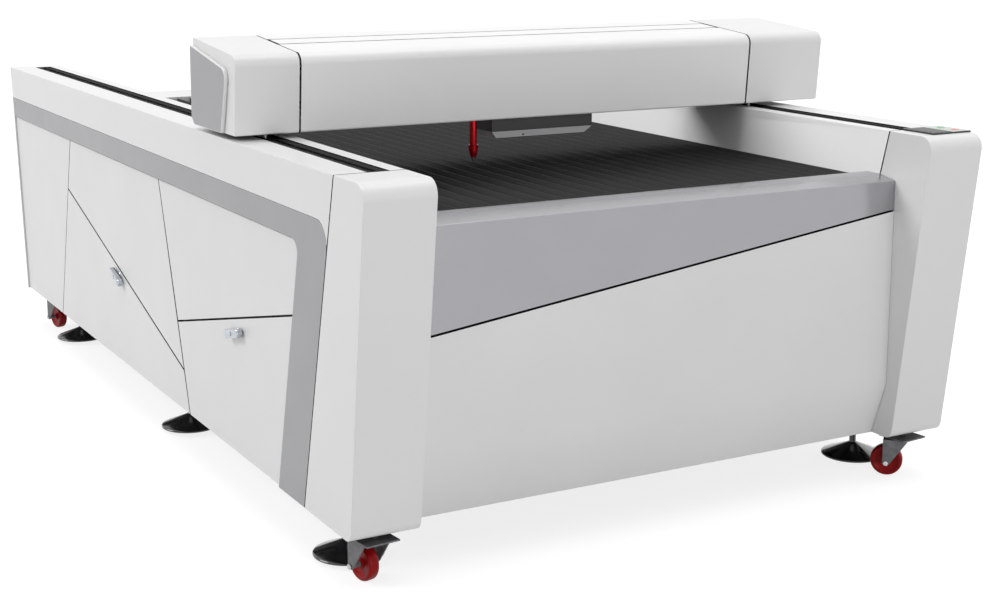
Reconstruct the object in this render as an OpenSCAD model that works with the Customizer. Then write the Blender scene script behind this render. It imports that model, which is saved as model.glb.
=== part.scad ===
// Flat-bed carbon dioxide laser cutting machine: a cased table with a bed of slats,
// and a gantry that runs along it on two covered rails and carries the cutting head.

/* [Body] */
// Width across the two side faces
body_w = 1900; // [1880:10:2000]
// Length along the top of the rail covers
body_l = 3479; // [3460:10:3600]
// Height of the rail covers and the columns
rail_z = 1025; // [1015:5:1030]
// Width of each rail cover and column
rail_w = 190; // [188:1:194]
// Height of the casing's lower edge
skirt_z = 130; // [128:1:134]
// Thickness of the casing's sheet metal
sheet = 3; // [2.5:0.5:3]
// Dark gap between neighbouring panels
seam = 5; // [3:0.5:6]
// Backward lean of the columns' front faces, in degrees
front_lean = 7.2; // [6:0.2:8]
// Forward lean of the rear edge, in degrees
rear_lean = 6.7; // [6:0.1:7]
// Lean of the seam between column and side, in degrees
seam_lean = 14.4; // [14:0.1:15]

/* [Bed] */
// Height of the slats' top edges
bed_z = 893; // [890:1:894]
// Number of slats
slat_count = 28; // [20:1:28]
// Spacing of the slats
slat_pitch = 53.2; // [50:0.2:54]

/* [Gantry] */
// Left end of the gantry's covers
gantry_left = -948; // [-955:1:-940]
// Right end of the gantry's covers
gantry_right = 1047; // [960:1:1060]
// Height of the gantry's lower edge
gantry_z = 1039; // [1039:1:1042]
// Tilt of the gantry's box section, in degrees
gantry_tilt = 5; // [4.5:0.1:5.5]

/* [Head] */
// Place of the nozzle along the gantry
nozzle_x = -168; // [-170:1:-166]
// Height of the nozzle's tip
nozzle_z = 905; // [902:1:906]

/* [Running gear] */
// Diameter of the levelling feet
foot_d = 188; // [160:1:190]
// Diameter of the caster wheels
wheel_d = 94; // [84:1:96]
// Turn of each caster about its kingpin, in degrees
caster_turn = [12, 45, 12, -20];
// Turn of the casters' fixed top plates, in degrees
plate_turn = 6; // [0:1:12]

/* [Hidden] */
$fn = 48;

// Casing, seen from the side: y runs rearwards from the columns' sharp top edge
side_x = body_w / 2;
wall_x = side_x - rail_w;
column_r = 40;
seam_y = 174;
leg_w = 180;
band_top = 904;
band_bottom = 829;
band_r = 60;
band_in_r = 34;
panel_set = 6;
panel_depth = 20;
arc_steps = 6;

// Slot along each rail cover
slot_in = side_x - 149;
slot_out = side_x - 88;
slot_mid = (slot_in + slot_out) / 2;
slot_end = body_l - 52;
lip_gap = 16;

// Bed and the sheets round it
bed_front = 268;
bed_rear = 3195;
slat_t = 3;
slat_h = 40;
ledge_z = 899;
slope_z = 887;
fascia_y = 142;
slope_y = 206;
deck_y = 3200;
wall_foot = 880;
fold_z = 290;
outlet_z = 470;
outlet_r = 100;
panel_foot_y = 197;

// Frame
tube = 60;
post_x = 890;
top_tube_z = 790;
rail_seat_z = 870;
frame_front = 150;
frame_rear = 3330;
top_rear = 3440;
post_ys = [290, 1290, 2300, 3270];
floor_tube_ys = [410, 1290, 2300, 3270];
tube_wall = 4;
bearer_z = 620;

// Running gear
foot_ys = [371, 1638, 2970];
foot_x = 843;
caster_x = 860;
caster_ys = [174, 3181];
plate_top = 111;
plate_w = 95;
fork_t = 4;
kingpin_r = 6;
floor_z = -13;
wheel_z = floor_z + wheel_d / 2;
wheel_w = 30;
trail = 42;
fork_z = 101.5;
fork_half = 43;
fit = 0.05;

// Gantry
beam_front = 1010;
beam_rear = 1085;
beam_z = 1057;
beam_h = 180;
beam_x = 895;
cover_rear = 1168;
lid_front = 995;
lid_rear = 1087;
lid_drop = 5;
pinion_y = 925;
pinion_r = 30;
gear_z = 915;
block_ys = [965, 1095];
block_l = 70;
block_w = 48;
rail_half = 10;

// Head
head_x = [-130, 219];
head_y = [900, 1000];
head_z = 996;
tray_z = 977;
nozzle_y = 946;
tube_r = 11;
cross_r = 18;
cross_x = 60;
cross_z = 1152;

// Control panel
panel_x = [804, 945];
panel_y = [47, 170];
panel_h = 5;

// Latches: middle of each spindle on its door, and the slope of the door's top edge
latch_reach = 22;
latches = [[2040, 428, 16.3], [886, 486, -12.7]];
hinge_x = -930;
hinge_z = 150;
hinge_r = 5;

front_min = column_r * (tan(front_lean) + 1 / cos(front_lean) - 1);
left_min = -side_x + panel_set - latch_reach;
origin_x = (gantry_right + left_min) / 2;
origin_y = (front_min + body_l) / 2;

function y_front(z) = (rail_z - z) * tan(front_lean);
function y_rear(z) = body_l - (rail_z - z) * tan(rear_lean);
// Rear edge of everything that the rear sheet covers
function y_back(z) = y_rear(z) - sheet - 0.5;
function y_seam(z) = seam_y + (rail_z - z) * tan(seam_lean);
function y_leg(z) = y_seam(z) + leg_w;
function y_cut_rear(z) = 2542 + (rail_z - z) * tan(18.6);
function y_cut_front(z) = 1628 - (rail_z - z) * tan(18.4);

// Outline helpers: outlines run anticlockwise
function unit(v) = v / norm(v);
function step(p, i) = let (n = len(p)) unit(p[(i + 1) % n] - p[i % n]);
function corner_in(p, i, t) = let (a = step(p, i + len(p) - 1), b = step(p, i))
    p[i] + t * (b - a) / cross(a, b);
function inset(p, t) = [for (i = [0 : len(p) - 1]) corner_in(p, i, t)];
function turn(v) = atan2(v[1], v[0]);
function swing(a, b) = let (d = b - a) d > 180 ? d - 360 : d < -180 ? d + 360 : d;
function arc(c, r, from, by) =
    [for (k = [0 : arc_steps]) c + r * [cos(from + by * k / arc_steps), sin(from + by * k / arc_steps)]];
function corner_arc(p, i, r) = let (
    n = len(p),
    a = unit(p[(i + n - 1) % n] - p[i]),
    b = unit(p[(i + 1) % n] - p[i]),
    half = acos(a * b) / 2,
    c = p[i] + unit(a + b) * r / sin(half),
    from = turn(p[i] + a * r / tan(half) - c),
    to = turn(p[i] + b * r / tan(half) - c))
    arc(c, r, from, swing(from, to));
function rounded(p, r) = [for (i = [0 : len(p) - 1]) each (r[i] > 0 ? corner_arc(p, i, r[i]) : [p[i]])];

// Extrudes a (y, z) outline along X from x0 for a width w
module yz(x0, w) translate([x0, 0, 0]) rotate([90, 0, 90]) linear_extrude(w) children();
// Extrudes an (x, z) outline along Y from y0 for a depth d
module xz(y0, d) translate([0, y0 + d, 0]) rotate([90, 0, 0]) linear_extrude(d) children();
// A box between two opposite corners
module block(a, b) translate(a) cube(b - a);
module both() {
    children();
    mirror([1, 0, 0]) children();
}
module right() mirror([1, 0, 0]) children();
module place() translate([-origin_x, -origin_y, -floor_z]) children();

// A folded pan on the left side: its face at x, its rim turned inwards
module pan(outline, x, depth) {
    difference() {
        yz(x, depth) polygon(outline);
        yz(x + sheet, depth) polygon(inset(outline, sheet));
    }
}

// ---- Frame ----

// Square or oblong tube between two corners, open along one axis (0 = X, 1 = Y, 2 = Z)
module steel_tube(low, high, axis) {
    t = tube_wall;
    difference() {
        block(low, high);
        block([for (i = [0 : 2]) low[i] + (i == axis ? -1 : t)],
            [for (i = [0 : 2]) high[i] - (i == axis ? -1 : t)]);
    }
}

// Ladder of tubes along the left side, with the seats of rack, panels and casters;
// each post stands in a narrow weld gap between the two long tubes
module side_frame(side) {
    weld = 0.1;
    steel_tube([-post_x, frame_front, skirt_z], [-post_x + tube, frame_rear, skirt_z + tube], 1);
    steel_tube([-post_x, frame_front, top_tube_z], [-post_x + 100, top_rear, rail_seat_z], 1);
    for (y = post_ys)
        steel_tube([-post_x, y, skirt_z + tube + weld], [-post_x + tube, y + tube, top_tube_z - weld], 2);
    block([-post_x + 5, 225, rail_seat_z], [-post_x + 28, top_rear - 5, gear_z]);
    block([-side_x + panel_set + panel_depth, 480, top_tube_z + 5], [-post_x, 3400, top_tube_z + 30]);
    for (y = caster_ys) caster_seat(y, -side * plate_turn);
}

// A caster's fixed half: stem, square top plate and kingpin with its head
module caster_seat(y, turn) translate([-caster_x, y, 0]) {
    half = plate_w / 2;
    translate([0, 0, plate_top - 1]) cylinder(d = 22, h = skirt_z - plate_top + 2);
    rotate(turn) block([-half, -half, plate_top - fork_t], [half, half, plate_top]);
    translate([0, 0, fork_z - 5]) cylinder(r = kingpin_r, h = plate_top - fork_z + 4);
    translate([0, 0, fork_z - 5]) cylinder(d = 22, h = 4.7);
}

module side_frame_left() color("dimgray") {
    side_frame(-1);
    for (door = hinges()) hinge_seat(door);
}

// Middle of each hinge along the doors' lower edges
function hinges() = [760, 1080, 1720, 2480];
module hinge_seat(y) {
    block([hinge_x, y - 45, hinge_z - 4], [-post_x, y - 35, hinge_z + 4]);
    translate([hinge_x, y - 45, hinge_z]) rotate([-90, 0, 0]) cylinder(r = hinge_r, h = 70);
}

module side_frame_right() color("dimgray") right() side_frame(1);

// Cross tubes, tray bearers and the notched bars that hold the slats
module cross_frame() color("dimgray") {
    inner = post_x - tube;
    for (y = floor_tube_ys) steel_tube([-inner, y, skirt_z], [inner, y + tube, skirt_z + tube], 0);
    for (y = post_ys) steel_tube([-inner, y, bearer_z], [inner, y + tube, bearer_z + tube], 0);
    for (y = [330, 1030, 1730, 2430, 3130]) notched_bar(y);
}

module notched_bar(y) {
    end_x = post_x - 100;
    bottom = bed_z - slat_h;
    difference() {
        block([-end_x, y, 793], [end_x, y + 10, bottom + 20]);
        for (i = [0 : slat_count - 1])
            block([slat_x(i) - slat_t / 2 - 0.3, y - 1, bottom], [slat_x(i) + slat_t / 2 + 0.3, y + 11, bed_z]);
    }
}

function slat_x(i) = (i - (slat_count - 1) / 2) * slat_pitch;

// Upright blades on edge, resting in the bars' notches
module bed_slats() color([0.13, 0.13, 0.13]) {
    for (i = [0 : slat_count - 1])
        block([slat_x(i) - slat_t / 2, bed_front, bed_z - slat_h], [slat_x(i) + slat_t / 2, bed_rear, bed_z]);
}

// Open trough under the slats that catches what falls and guides the fumes
module chip_tray() color([0.2, 0.2, 0.2]) {
    outer = [[-320, 680], [320, 680], [784, 787], [-784, 787]];
    inner = [[-320, 682], [320, 682], [784, 789], [-784, 789]];
    difference() {
        xz(290, 2890) polygon(outer);
        xz(293, 2884) polygon(inner);
    }
}

// ---- Casing ----

// Column cover: leaning front, two sides and a rounded top, open below and behind
function column_outline() = rounded(
    [[y_front(skirt_z), skirt_z], [y_seam(skirt_z) - seam / 2, skirt_z],
     [y_seam(rail_z) - seam / 2, rail_z], [0, rail_z]], [30, 0, 0, column_r]);
function column_hollow() = rounded(
    [[y_front(skirt_z + sheet) + sheet, skirt_z + sheet], [y_seam(skirt_z + sheet) + 40, skirt_z + sheet],
     [y_seam(rail_z - sheet) + 40, rail_z - sheet], [y_front(rail_z - sheet) + sheet, rail_z - sheet]],
    [30 - sheet, 0, 0, column_r - sheet]);

module front_column() {
    difference() {
        yz(-side_x, rail_w) polygon(column_outline());
        yz(-side_x + sheet, rail_w - 2 * sheet) polygon(column_hollow());
        block([-side_x + sheet, frame_front - 5, skirt_z - 1], [-wall_x - sheet, 500, skirt_z + sheet + 1]);
    }
}
module front_column_left() color("whitesmoke") front_column();
module front_column_right() color("whitesmoke") right() front_column();

// Metallic band along the side that turns down beside the column as a leg
function band_outline() = rounded(
    [[y_seam(skirt_z) + seam / 2, skirt_z], [y_leg(skirt_z), skirt_z], [y_leg(band_bottom), band_bottom],
     [y_back(band_bottom), band_bottom], [y_back(band_top), band_top],
     [y_seam(band_top) + seam / 2, band_top]], [0, 0, band_in_r, 0, 0, band_r]);
module side_band() pan(band_outline(), -side_x, 14);
module side_band_left() color("silver") side_band();
module side_band_right() color("silver") right() side_band();

// Region under the outer wall: it follows the band's top edge and its rounded corner to a blunt tip
function under_wall() = let (
    low = band_top + 0.5,
    bend = corner_arc([[y_seam(skirt_z) + seam / 2, skirt_z], [y_seam(low) + seam / 2, low], [body_l, low]], 1, band_r))
    [[0, 0], [2 * body_l, 0], [2 * body_l, low], for (k = [arc_steps : -1 : 1]) bend[k], [0, bend[1][1]]];

// Long channel over a guide rail: outer wall, top with a slot, inner wall
module rail_cover() difference() {
    yz(-side_x, rail_w) polygon([[y_seam(band_bottom) + seam / 2, band_bottom], [y_back(band_bottom), band_bottom],
        [y_back(rail_z), rail_z], [y_seam(rail_z) + seam / 2, rail_z]]);
    block([-side_x + sheet, 0, 0], [-wall_x - sheet, 2 * body_l, rail_z - sheet]);
    block([-wall_x - sheet - 1, 0, 0], [-wall_x + 1, 2 * body_l, wall_foot]);
    yz(-side_x - 1, sheet + 2) polygon(under_wall());
    block([-slot_out, 0, rail_z - sheet - 1], [-slot_in, slot_end, rail_z + 1]);
}
module rail_cover_left() color("whitesmoke") rail_cover();
module rail_cover_right() color("whitesmoke") right() rail_cover();

// Rubber lips along both slots, with a gap for the gantry's brackets
module slot_lips() color([0.08, 0.08, 0.08]) both() {
    low = rail_z - sheet - 2.5;
    lip = [y_seam(rail_z) + 10, slot_end + 8];
    block([-slot_out - 8, lip[0], low], [-slot_mid - lip_gap / 2, lip[1], rail_z - sheet]);
    block([-slot_mid + lip_gap / 2, lip[0], low], [-slot_in + 8, lip[1], rail_z - sheet]);
}

// Metallic sheet in front of the bed: ledge, shallow slope, face with a diagonal lower edge
module front_fascia() color("silver") {
    x = wall_x - 0.5;
    slope = [for (d = [0, sheet]) [[fascia_y + d, slope_z - d], [slope_y, ledge_z - d], [bed_front - 3, ledge_z - d]]];
    yz(-x, 2 * x) polygon([slope[1][0], slope[1][1], slope[1][2], slope[0][2], slope[0][1], slope[0][0]]);
    xz(fascia_y, sheet) polygon([[-x, diagonal_z(-x) + seam / 2], [x, diagonal_z(x) + seam / 2],
        [x, slope_z], [-x, slope_z]]);
    block([-x, bed_front - 3 - sheet, ledge_z - 45], [x, bed_front - 3, ledge_z]);
}
function diagonal_z(x) = 704 + x * tan(7.35);

// Painted sheet below the diagonal, folded inwards near its foot
module front_panel() color("gainsboro") {
    x = wall_x - 0.5;
    xz(fascia_y, sheet) polygon([[-x, fold_z], [x, fold_z], [x, diagonal_z(x) - seam / 2],
        [-x, diagonal_z(-x) - seam / 2]]);
    yz(-x, 2 * x) polygon([[panel_foot_y, skirt_z], [panel_foot_y + sheet, skirt_z],
        [fascia_y + sheet, fold_z], [fascia_y, fold_z]]);
}

// Leaning rear sheet with the deck behind the bed and the round fume outlet on its flange
module rear_panel() color("gainsboro") {
    x = wall_x - 0.5;
    difference() {
        union() {
            yz(-side_x, body_w) polygon([[y_rear(skirt_z) - sheet, skirt_z], [y_rear(skirt_z), skirt_z],
                [y_rear(rail_z), rail_z], [y_rear(rail_z) - sheet, rail_z]]);
            outlet(outlet_r + 15, -16, 14);
            outlet(outlet_r, 0, 65);
        }
        block([-x, body_l - 60, ledge_z], [x, body_l + 10, rail_z + 1]);
        outlet(outlet_r - sheet, -40, 70);
    }
    block([-x, deck_y, ledge_z - sheet], [x, y_back(ledge_z) + 1, ledge_z]);
    block([-x, deck_y, ledge_z - 45], [x, deck_y + sheet, ledge_z]);
}
// Round bar along the outlet's axis between two distances behind the sheet
module outlet(r, from, to) translate([0, y_rear(outlet_z) + from, outlet_z]) rotate([-90, 0, 0])
    cylinder(r = r, h = to - from, $fn = 96);

// ---- Left side panels and doors: cells of the side, cut by sloping seams ----

function cell_rear() = [[y_cut_rear(skirt_z), skirt_z], [y_back(skirt_z), skirt_z],
    [y_back(band_bottom), band_bottom], [y_cut_rear(band_bottom), band_bottom]];
function cell_upper() = [[1374, 261], [2672, 640], [y_cut_rear(band_bottom), band_bottom],
    [y_cut_front(band_bottom), band_bottom]];
function cell_door_rear() = [[y_cut_front(skirt_z), skirt_z], [y_cut_rear(skirt_z), skirt_z],
    [2672, 640], [1374, 261]];
function cell_front() = [[y_leg(626), 626], [1418, 406], [y_cut_front(band_bottom), band_bottom],
    [y_leg(band_bottom), band_bottom]];
// The door's foot is cut back beside the band and the rear door, which it passes as it tilts
function cell_door_front() = [[y_leg(skirt_z) + 5, skirt_z], [y_cut_front(skirt_z) - 2, skirt_z],
    [1418, 406], [y_leg(626), 626], [y_leg(hinge_z + 40), hinge_z + 40], [y_leg(hinge_z + 22) + 5, hinge_z + 22]];

// The pan's corner number 3 follows the band's rounded inner corner where r is given
module side_pan(cell, r = 0) pan(rounded(inset(cell, seam / 2), [for (i = [0 : len(cell) - 1]) i == 3 ? r : 0]),
    -side_x + panel_set, panel_depth);

module side_panel_rear_left() color("gainsboro") side_pan(cell_rear());
module side_panel_upper_left() color("gainsboro") side_pan(cell_upper());
module side_panel_front_left() color("gainsboro") side_pan(cell_front(), band_in_r - seam / 2);
module side_panel_right() color("gainsboro") right() side_pan([[y_leg(skirt_z), skirt_z],
    [y_back(skirt_z), skirt_z], [y_back(band_bottom), band_bottom], [y_leg(band_bottom), band_bottom]],
    band_in_r - seam / 2);

// A door: folded pan with two knuckles at its foot and a hole for the latch spindle
module door(cell, hinge_ys, latch) {
    difference() {
        union() {
            side_pan(cell);
            for (y = hinge_ys) door_knuckle(y);
            translate([-side_x + panel_set, latch[0], latch[1]]) rotate([0, 90, 0]) cylinder(r = 14, h = 24);
        }
        for (y = hinge_ys)
            translate([hinge_x, y - 40, hinge_z]) rotate([-90, 0, 0]) cylinder(r = hinge_r + fit, h = 80);
        translate([-side_x, latch[0], latch[1]]) rotate([0, 90, 0]) cylinder(r = 7 + fit, h = 60);
        for (y = hinge_ys)
            block([-side_x + panel_set + sheet, y - 52, skirt_z], [-side_x + 40, y - 28, skirt_z + 10]);
    }
}
module door_knuckle(y) {
    translate([hinge_x, y - 20, hinge_z]) rotate([-90, 0, 0]) cylinder(r = 9, h = 40);
    block([-side_x + panel_set + 1, y - 20, hinge_z - 9], [hinge_x, y + 20, hinge_z + 9]);
}
module side_door_rear_left() color("gainsboro") door(cell_door_rear(), [1720, 2480], latches[0]);
module side_door_front_left() color("gainsboro") door(cell_door_front(), [760, 1080], latches[1]);

// Chrome turn latch: rounded bar, spindle and the tongue behind the door's face
module latch(spec) {
    face = -side_x + panel_set;
    tip = face - latch_reach;
    translate([0, spec[0], spec[1]]) {
        translate([tip, 0, 0]) rotate([spec[2], 0, 0]) {
            block([0, -42, -13], [16, 42, 13]);
            for (s = [-1, 1]) translate([0, 42 * s, 0]) rotate([0, 90, 0]) cylinder(r = 13, h = 16);
        }
        translate([tip + 8, 0, 0]) rotate([0, 90, 0]) cylinder(r = 7, h = latch_reach + 22);
        translate([face - 4, 0, 0]) rotate([0, 90, 0]) cylinder(r = 17, h = 3.5);
        translate([face + 24.4, 0, 0]) rotate([0, 90, 0]) cylinder(r = 12, h = 5);
    }
}
module rear_latch() color("lightgray") latch(latches[0]);
module front_latch() color("lightgray") latch(latches[1]);

// ---- Rails and racks in the rail covers ----

module guide_rails() color("lightgray") both()
    block([-slot_mid - rail_half, 215, rail_seat_z], [-slot_mid + rail_half, top_rear - 5, rail_seat_z + 18]);

// Tooth outline along a rack: flanks at 20 degrees, slightly thin so that the mesh has play
function tooth(at, m) = let (w = m * PI / 4 - 0.35, a = m * tan(20))
    [[at - w - a * 1.25, -m * 1.25], [at - w + a, m], [at + w - a, m], [at + w + a * 1.25, -m * 1.25]];
function rack_outline(m, first, last, back) = [[first, -m * 1.25],
    for (k = [ceil(first / (m * PI)) + 1 : floor(last / (m * PI)) - 1]) each tooth(k * m * PI, m),
    [last, -m * 1.25], [last, -back], [first, -back]];

drive_m = 5;
cross_m = 3;

// Toothed bars beside the guide rails, teeth towards the slot
module racks() color("gray") both()
    translate([-slot_mid - pinion_r, pinion_y, gear_z]) linear_extrude(20) rotate(-90) mirror([1, 0])
        polygon(rack_outline(drive_m, 225 - pinion_y, top_rear - 5 - pinion_y, 24));

// Spur pinion about Z with a gap facing -X
module gear(m, teeth, h) {
    r = m * teeth / 2;
    w = 360 / teeth / 4 - 0.35 / r * 180 / PI;
    flank = [[-1.2, -1.25], [-0.5, 0.85], [0.5, 0.85], [1.2, -1.25]];
    linear_extrude(h) polygon([for (i = [0 : teeth - 1], k = flank)
        let (a = (i + 0.5) * 360 / teeth + w * k[0]) (r + m * k[1]) * [cos(a), sin(a)]]);
}

// ---- Controls on the right column ----

module control_panel() color("silver") difference() {
    block([panel_x[0], panel_y[0], rail_z], [panel_x[1], panel_y[1], rail_z + panel_h]);
    block([screen_x[0], screen_y[0], rail_z + 2], [screen_x[1], screen_y[1], rail_z + 9]);
    for (y = key_ys)
        translate([key_x, y, rail_z + 0.5]) cylinder(d = 24.6, h = 10);
}
key_x = 914;
key_ys = [78, 134];
screen_x = [panel_x[0] + 3, panel_x[0] + 74];
screen_y = [panel_y[0] + 3, panel_y[1] - 5];
module control_display() color([0.05, 0.05, 0.06])
    block([screen_x[0] + 0.2, screen_y[0] + 0.2, rail_z + 2],
        [screen_x[1] - 0.2, screen_y[1] - 0.2, rail_z + 5.4]);
module key(y) translate([key_x, y, rail_z + 2.5]) cylinder(d = 24, h = 3.5);
module start_key() color("green") key(key_ys[1]);
module stop_key() color("orangered") key(key_ys[0]);

// Socket for the mains lead, low on the rear sheet
module power_inlet() color([0.1, 0.1, 0.1]) {
    z = 260;
    translate([-600, y_rear(z) + 0.8, z]) rotate([-90 - rear_lean, 0, 0]) difference() {
        union() {
            translate([-30, -40, -0.5]) cube([60, 80, 4]);
            cylinder(d = 46, h = 26);
        }
        translate([0, 0, 8]) cylinder(d = 38, h = 20);
    }
}

// Cone feet on threaded stems, each with its lock nut under the frame
module levelling_feet() color([0.1, 0.1, 0.1]) for (y = foot_ys) both() translate([-foot_x, y, 0]) {
    rotate_extrude() polygon([[0, 0], [foot_d / 2, 0], [foot_d / 2, 5], [foot_d / 2 - 4, 8],
        [10, 40], [10, 62], [0, 62]]);
    translate([0, 0, 50]) cylinder(d = 16, h = skirt_z - 50);
    translate([0, 0, skirt_z - 14]) cylinder(d = 28, h = 14, $fn = 6);
}

module laser_power_supply() color([0.3, 0.3, 0.32]) {
    low = skirt_z + tube;
    block([-780, post_ys[1], low], [-540, post_ys[2] + tube, low + sheet]);
    block([-770, 1650, low + sheet], [-550, 2150, 420]);
}

// ---- Gantry ----

function top_line(y) = 1260 + (y - 872) * tan(5.2);
function gantry_outline() = rounded(
    [[847, gantry_z], [cover_rear, gantry_z], [cover_rear + 24, gantry_z + 24],
     [1172, top_line(1172)], [847 - 217 * tan(gantry_tilt), top_line(828)]], [6, 0, 0, 8, 30]);
function gantry_hollow() = rounded(inset(
    [[847, gantry_z], [cover_rear, gantry_z], [cover_rear + 24, gantry_z + 24],
     [1172, top_line(1172)], [847 - 217 * tan(gantry_tilt), top_line(828)]], sheet), [3, 0, 0, 5, 27]);

// Open way along the underside for brackets, head and tube
module underside(x0, w) block([x0, 882, gantry_z - 5], [x0 + w, cover_rear - 14, gantry_z + 10]);
function strip(y0, y1, d0, d1) = [[y0, top_line(y0) - d1], [y1, top_line(y1) - d1],
    [y1, top_line(y1) - d0], [y0, top_line(y0) - d0]];

// Middle cover, with a sunk seat for the lid
module gantry_cover() color("whitesmoke") {
    x = wall_x - seam / 2;
    difference() {
        union() {
            difference() {
                yz(-x, 2 * x) polygon(gantry_outline());
                yz(-x - 1, 2 * x + 2) polygon(gantry_hollow());
            }
            yz(-x, 2 * x) polygon(strip(lid_front - 4, lid_rear + 4, 1, lid_drop + sheet));
        }
        yz(-x - 1, 2 * x + 2) polygon(strip(lid_front, lid_rear, -2, lid_drop));
        underside(-x - 1, 2 * x + 2);
    }
}
module gantry_lid() color("whitesmoke") {
    x = wall_x - seam / 2;
    yz(-x, 2 * x) polygon(strip(lid_front + 2, lid_rear - 2, 0.3, lid_drop - 0.1));
}

// End cover: the same section, closed at its outer end
module end_cover(x0, x1, closed) {
    difference() {
        yz(x0, x1 - x0) polygon(gantry_outline());
        yz(closed < 0 ? x0 + sheet : x0 - 1, x1 - x0 - sheet + 1) polygon(gantry_hollow());
        underside(closed < 0 ? x0 + sheet : x0 - 1, x1 - x0 - sheet + 1);
    }
}
module gantry_cover_left() color("whitesmoke") end_cover(gantry_left, -wall_x - seam / 2, -1);
module gantry_cover_right() color("whitesmoke") end_cover(wall_x + seam / 2, gantry_right, 1);

module end_plate() color("silver") yz(gantry_left - 12, 12) polygon(rounded(
    [[926, 1040], [1149, 1040], [1173, 1060], [1168, 1267], [875, 1216.6]], [5, 0, 0, 6, 30]));

// Hollow beam with the saddles of the laser tube
module gantry_beam() color([0.75, 0.76, 0.78]) {
    difference() {
        block([-beam_x, beam_front, beam_z], [beam_x, beam_rear, beam_z + beam_h]);
        block([-beam_x - 1, beam_front + 7, beam_z + 7], [beam_x + 1, beam_rear - 7, beam_z + beam_h - 7]);
    }
    for (x = [-520, 480]) difference() {
        block([x, beam_rear, 1120], [x + 40, cover_rear + 4, 1180]);
        translate([x - 1, laser_y, laser_z]) rotate([0, 90, 0]) cylinder(r = 40 + fit, h = 42);
    }
}
laser_y = 1132;
laser_z = 1185;

// Sealed glass tube with its end caps
module laser_tube() color([0.8, 0.86, 0.9]) {
    translate([-700, laser_y, laser_z]) rotate([0, 90, 0]) cylinder(r = 40, h = 1400);
    for (x = [-745, 690]) translate([x, laser_y, laser_z]) rotate([0, 90, 0]) cylinder(r = 24, h = 55);
}

// Plates under the beam's ends, with the blades that reach down through the slots
module gantry_brackets() color([0.45, 0.46, 0.48]) both() {
    difference() {
        block([-900, 885, beam_z - 12], [-765, 1165, beam_z]);
        translate([-slot_mid, pinion_y, beam_z - 20]) cylinder(r = 12, h = 30);
    }
    block([-slot_mid - 6, block_ys[0], gear_z + 2], [-slot_mid + 6, cover_rear - 18, beam_z - 12]);
    block([-slot_mid - 19, block_ys[0], gear_z - 10], [-slot_mid + 19, block_ys[1] + block_l, gear_z + 2]);
}

// Recirculating ball blocks that grip the guide rails
module bearing_blocks() color("gray") both() for (y = block_ys) difference() {
    block([-slot_mid - block_w / 2, y, rail_seat_z + 4], [-slot_mid + block_w / 2, y + block_l, gear_z - 10]);
    block([-slot_mid - rail_half - 0.3, y - 1, rail_seat_z],
        [-slot_mid + rail_half + 0.3, y + block_l + 1, rail_seat_z + 18.3]);
}

// Motors on the brackets' plates, shafts downwards
module drive_motors() color([0.15, 0.15, 0.16]) both() translate([-slot_mid, pinion_y, 0]) difference() {
    block([-40, -40, beam_z], [40, 40, beam_z + 90]);
    translate([0, 0, beam_z - 1]) cylinder(r = 6 + fit, h = 40);
}
module pinion() translate([-slot_mid, pinion_y, 0]) {
    translate([0, 0, gear_z]) gear(drive_m, 12, 20);
    translate([0, 0, gear_z]) cylinder(r = 6, h = beam_z + 30 - gear_z);
}
module pinion_left() color("dimgray") pinion();
module pinion_right() color("dimgray") right() pinion();

// Rails and toothed bar on the front of the beam
cross_rail_zs = [1098, 1206];
module cross_guide_rails() color("lightgray") for (z = cross_rail_zs)
    block([-800, beam_front - 18, z - rail_half], [800, beam_front, z + rail_half]);
module cross_rack() color("gray") translate([cross_x, beam_front, cross_z + cross_r]) rotate([90, 0, 0])
    linear_extrude(18) mirror([0, 1]) polygon(rack_outline(cross_m, -760 - cross_x, 760 - cross_x, 10));

// ---- Head ----

// Plate with its four bearing blocks, the clamp of the nozzle tube and the hanger of the head box
module head_carriage() color([0.5, 0.51, 0.53]) {
    plate_y = [966, 978];
    difference() {
        union() {
            block([-190, plate_y[0], 1068], [200, plate_y[1], 1236]);
            block([-110, plate_y[0], head_z + 2], [190, plate_y[1], 1068]);
            block([-190, nozzle_y - 22, 1070], [-146, plate_y[0], 1120]);
            for (x = [-170, 110], z = cross_rail_zs)
                block([x, plate_y[1], z - 24], [x + 70, beam_front - 6, z + 24]);
        }
        for (z = cross_rail_zs)
            block([-200, beam_front - 18.3, z - rail_half - 0.3], [210, beam_front, z + rail_half + 0.3]);
        translate([nozzle_x, nozzle_y, 1060]) cylinder(r = tube_r + fit, h = 70);
        translate([cross_x, plate_y[0] - 1, cross_z]) rotate([-90, 0, 0]) cylinder(r = 12, h = 20);
    }
}

module cross_motor() color([0.15, 0.15, 0.16]) translate([cross_x, 966, cross_z]) rotate([90, 0, 0]) difference() {
    block([-28, -28, 0], [28, 28, 60]);
    translate([0, 0, -1]) cylinder(r = 5 + fit, h = 30);
}
module cross_pinion() color("dimgray") translate([cross_x, beam_front - 3, cross_z]) rotate([90, 0, 0]) {
    rotate(-90) gear(cross_m, 12, 14);
    cylinder(r = 5, h = 60);
}

// Dark open-topped box under the gantry
module head_cover() color([0.28, 0.28, 0.28]) difference() {
    block([head_x[0], head_y[0], head_z], [head_x[1], head_y[1], 1050]);
    block([head_x[0] + 2, head_y[0] + 2, head_z + 2], [head_x[1] - 2, head_y[1] - 2, 1051]);
}
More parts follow.
